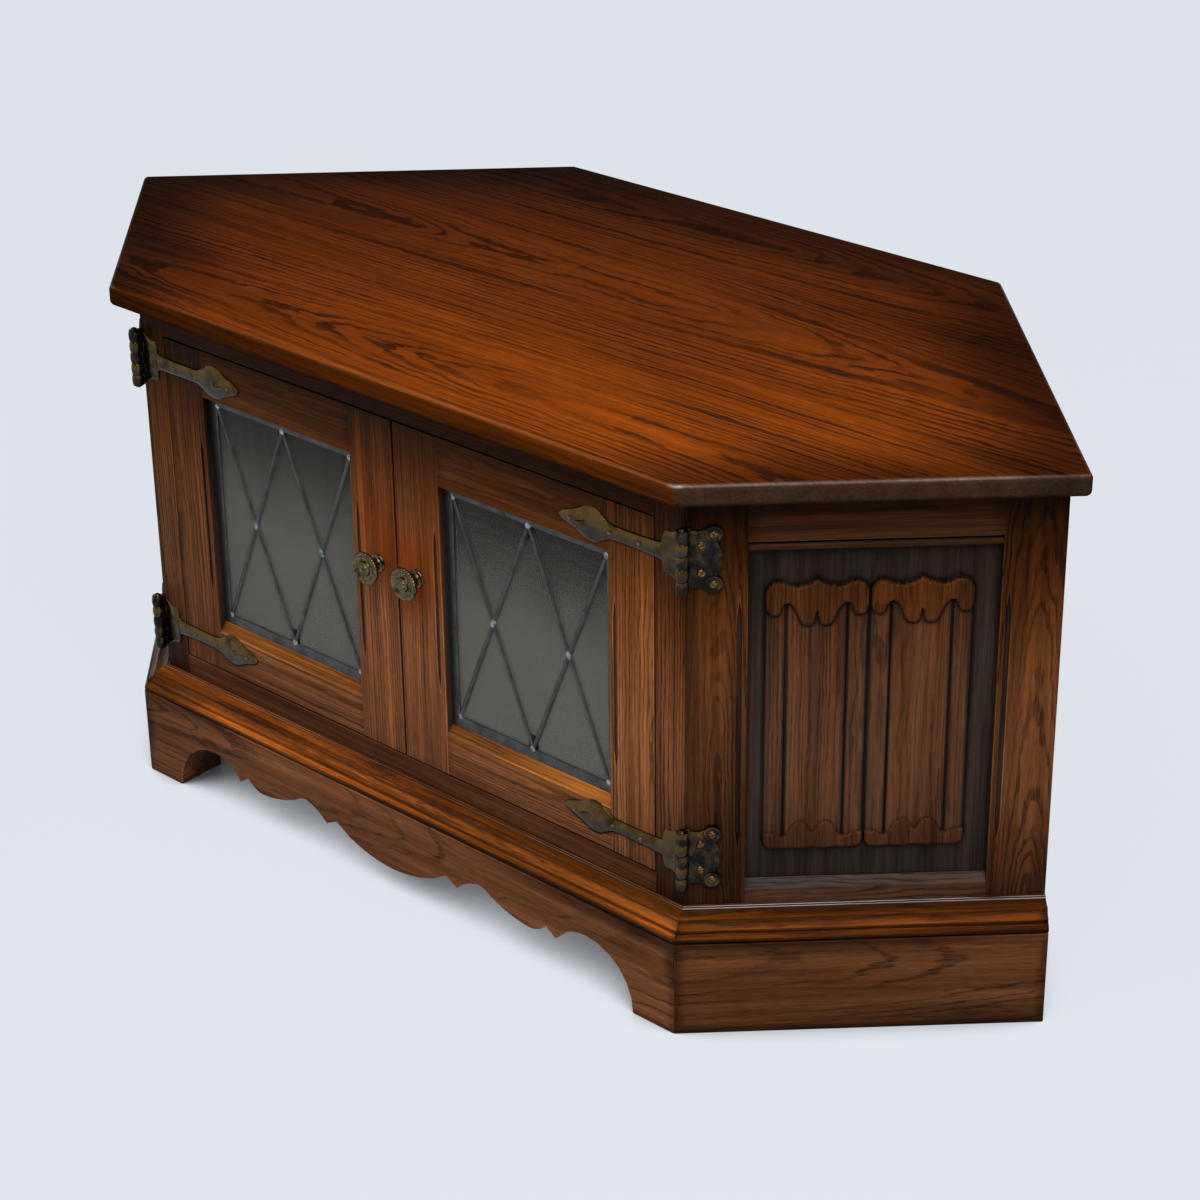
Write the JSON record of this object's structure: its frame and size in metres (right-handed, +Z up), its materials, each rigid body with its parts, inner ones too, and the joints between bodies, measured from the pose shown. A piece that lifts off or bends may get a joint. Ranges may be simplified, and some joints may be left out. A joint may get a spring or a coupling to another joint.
{
  "type": "corner television cabinet",
  "caption": "Low six-sided oak cabinet for the corner of a room, with leaded glass doors on strap hinges, carved side panels and a scalloped plinth.",
  "frame": {"origin": "middle of the bounding box on the floor, under the cabinet", "axes": "+X along the front to the right door side, +Y from the front towards the corner of the room, +Z up"},
  "size_m": [1.1318, 0.534, 0.5],
  "materials": {
    "top_oak": "satin lacquer over dark stained oak, open grain",
    "frame_oak": "satin lacquer over dark stained oak, open grain",
    "panel_oak": "satin lacquer over carved dark oak",
    "floor_oak": "thin lacquer over stained board",
    "back_board": "thin plain board, stained, matt",
    "plain_wood": "unfinished softwood",
    "dark_bronze": "dark antique bronze over cast metal, worn bright on its edges",
    "worn_brass": "worn antique brass",
    "lead": "dull grey lead with bright soldered joints",
    "glass": "clear flat glass",
    "catch_plastic": "brown moulded plastic",
    "strike_steel": "zinc plated steel"
  },
  "bodies": {
    "carcass": {"top_board": "top_oak", "face_stile_left": "frame_oak", "face_stile_right": "frame_oak", "face_top_rail": "frame_oak", "face_bottom_rail": "frame_oak", "side_front_stile_left": "frame_oak", "side_front_stile_right": "frame_oak", "side_back_stile_left": "frame_oak", "side_back_stile_right": "frame_oak", "side_top_rail_left": "frame_oak", "side_top_rail_right": "frame_oak", "side_bottom_rail_left": "frame_oak", "side_bottom_rail_right": "frame_oak", "linenfold_panel_left": "panel_oak", "linenfold_panel_right": "panel_oak", "back_panel_left": "back_board", "back_panel_right": "back_board", "back_panel_centre": "back_board", "back_post_left": "plain_wood", "back_post_right": "plain_wood", "floor_board": "floor_oak", "plinth_front": "frame_oak", "plinth_left": "frame_oak", "plinth_right": "frame_oak", "base_rails": "plain_wood", "glue_blocks": "plain_wood", "base_moulding_front": "frame_oak", "base_moulding_left": "frame_oak", "base_moulding_right": "frame_oak", "magnet_catch": "catch_plastic", "hinge_plate_upper_left": "dark_bronze", "hinge_plate_lower_left": "dark_bronze", "hinge_plate_upper_right": "dark_bronze", "hinge_plate_lower_right": "dark_bronze", "hinge_pins": "dark_bronze", "hinge_screws": "worn_brass"},
    "left_door": {"left_door_hinge_stile": "frame_oak", "left_door_meeting_stile": "frame_oak", "left_door_top_rail": "frame_oak", "left_door_bottom_rail": "frame_oak", "left_door_glass": "glass", "left_door_lead": "lead", "left_door_glazing_beads": "frame_oak", "left_door_knob": "dark_bronze", "left_strap_upper": "dark_bronze", "left_strap_lower": "dark_bronze", "left_strap_nails": "worn_brass", "left_catch_strike": "strike_steel"},
    "right_door": {"right_door_hinge_stile": "frame_oak", "right_door_meeting_stile": "frame_oak", "right_door_top_rail": "frame_oak", "right_door_bottom_rail": "frame_oak", "right_door_glass": "glass", "right_door_lead": "lead", "right_door_glazing_beads": "frame_oak", "right_door_knob": "dark_bronze", "right_strap_upper": "dark_bronze", "right_strap_lower": "dark_bronze", "right_strap_nails": "worn_brass", "right_catch_strike": "strike_steel"}
  },
  "joints": [
    {"name": "right_door_hinge", "type": "hinge", "parent": "carcass", "child": "right_door", "pos_m": [0.33244, -0.24795, 0.292], "axis": [0, 0, 1], "range_deg": [0, 180]},
    {"name": "left_door_hinge", "type": "hinge", "parent": "carcass", "child": "left_door", "pos_m": [-0.33244, -0.24795, 0.292], "axis": [0, 0, -1], "range_deg": [0, 180]}
  ]
}
